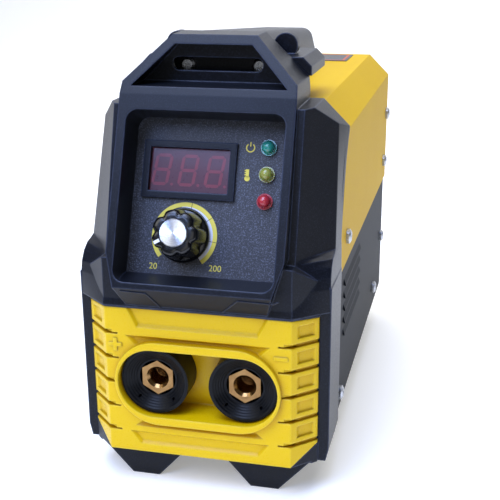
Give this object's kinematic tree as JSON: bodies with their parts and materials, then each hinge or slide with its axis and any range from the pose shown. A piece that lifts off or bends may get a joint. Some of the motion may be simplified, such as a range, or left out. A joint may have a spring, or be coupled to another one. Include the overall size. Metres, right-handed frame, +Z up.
{
  "type": "stick welding inverter",
  "caption": "Portable stick welding inverter: folded steel case between moulded ends, carrying handle, panel sockets, current knob, digital display and rear fan.",
  "frame": {"origin": "on the floor, in the middle of the bounding box", "axes": "+Z up, the front with the sockets looks towards -Y, +Y to the rear, +X to the operator's right"},
  "size_m": [0.1336, 0.3, 0.228],
  "materials": {
    "black_abs": "satin moulded",
    "textured_abs": "coarse grained",
    "yellow_abs": "satin moulded",
    "yellow_paint": "powder coat",
    "black_paint": "powder coat",
    "gloss_black": "polished",
    "brass": "machined",
    "chrome": "bright",
    "spun_aluminium": "spun",
    "aluminium": "extruded",
    "steel": "zinc plated",
    "red_window": "smoked lens",
    "lens_red": "clear lens",
    "lens_yellow": "clear lens",
    "lens_green": "clear lens",
    "white_mark": "printed",
    "copper": "bare",
    "circuit_board": "solder mask",
    "ferrite": "ground",
    "winding": "enamelled and taped",
    "capacitor_sleeve": "shrink sleeve",
    "label_dark": "film"
  },
  "bodies": {
    "machine": {"base_tray": "black_paint", "board_posts": "steel", "board_screws": "chrome", "busbar_negative": "copper", "busbar_positive": "copper", "cable_gland": "black_abs", "capacitors": "capacitor_sleeve", "case_cover": "yellow_paint", "case_screws": "chrome", "control_board": "circuit_board", "control_panel": "textured_abs", "display_bezel": "black_abs", "display_digits": "capacitor_sleeve", "display_window": "red_window", "earth_stud": "brass", "fan_frame": "gloss_black", "fan_guard": "chrome", "fan_screws": "chrome", "front_bezel": "black_abs", "gland_nut": "black_abs", "handle": "black_abs", "handle_screws": "chrome", "heatsink_left": "aluminium", "heatsink_right": "aluminium", "lamp_green": "lens_green", "lamp_red": "lens_red", "lamp_yellow": "lens_yellow", "main_board": "circuit_board", "output_choke": "winding", "panel_screws": "chrome", "potentiometer": "steel", "power_modules": "capacitor_sleeve", "power_switch": "gloss_black", "rear_bezel": "black_abs", "rear_feet": "black_abs", "rear_panel": "black_paint", "socket_body_negative": "gloss_black", "socket_body_positive": "gloss_black", "socket_insert_negative": "brass", "socket_insert_positive": "brass", "socket_nuts": "brass", "socket_panel": "yellow_abs", "standoffs": "brass", "top_label": "label_dark", "transformer_core": "ferrite", "transformer_winding": "winding"},
    "knob": {"current_knob": "gloss_black", "knob_cap": "spun_aluminium", "knob_pointer": "white_mark", "potentiometer_shaft": "aluminium"},
    "rocker": {"power_rocker": "gloss_black"},
    "fan": {"fan_rotor": "gloss_black"}
  },
  "joints": [
    {"name": "knob_turn", "type": "hinge", "parent": "machine", "child": "knob", "pos_m": [-0.0112, -0.12051, 0.13102], "axis": [0, 0.9291, -0.3697], "range_deg": [-20, 250]},
    {"name": "power_rock", "type": "hinge", "parent": "machine", "child": "rocker", "pos_m": [-0.028, 0.119, 0.16], "axis": [1, 0, 0], "range_deg": [-18, 0]},
    {"name": "fan_spin", "type": "hinge", "parent": "machine", "child": "fan", "pos_m": [0, 0.102, 0.086], "axis": [0, 1, 0], "continuous": true}
  ]
}
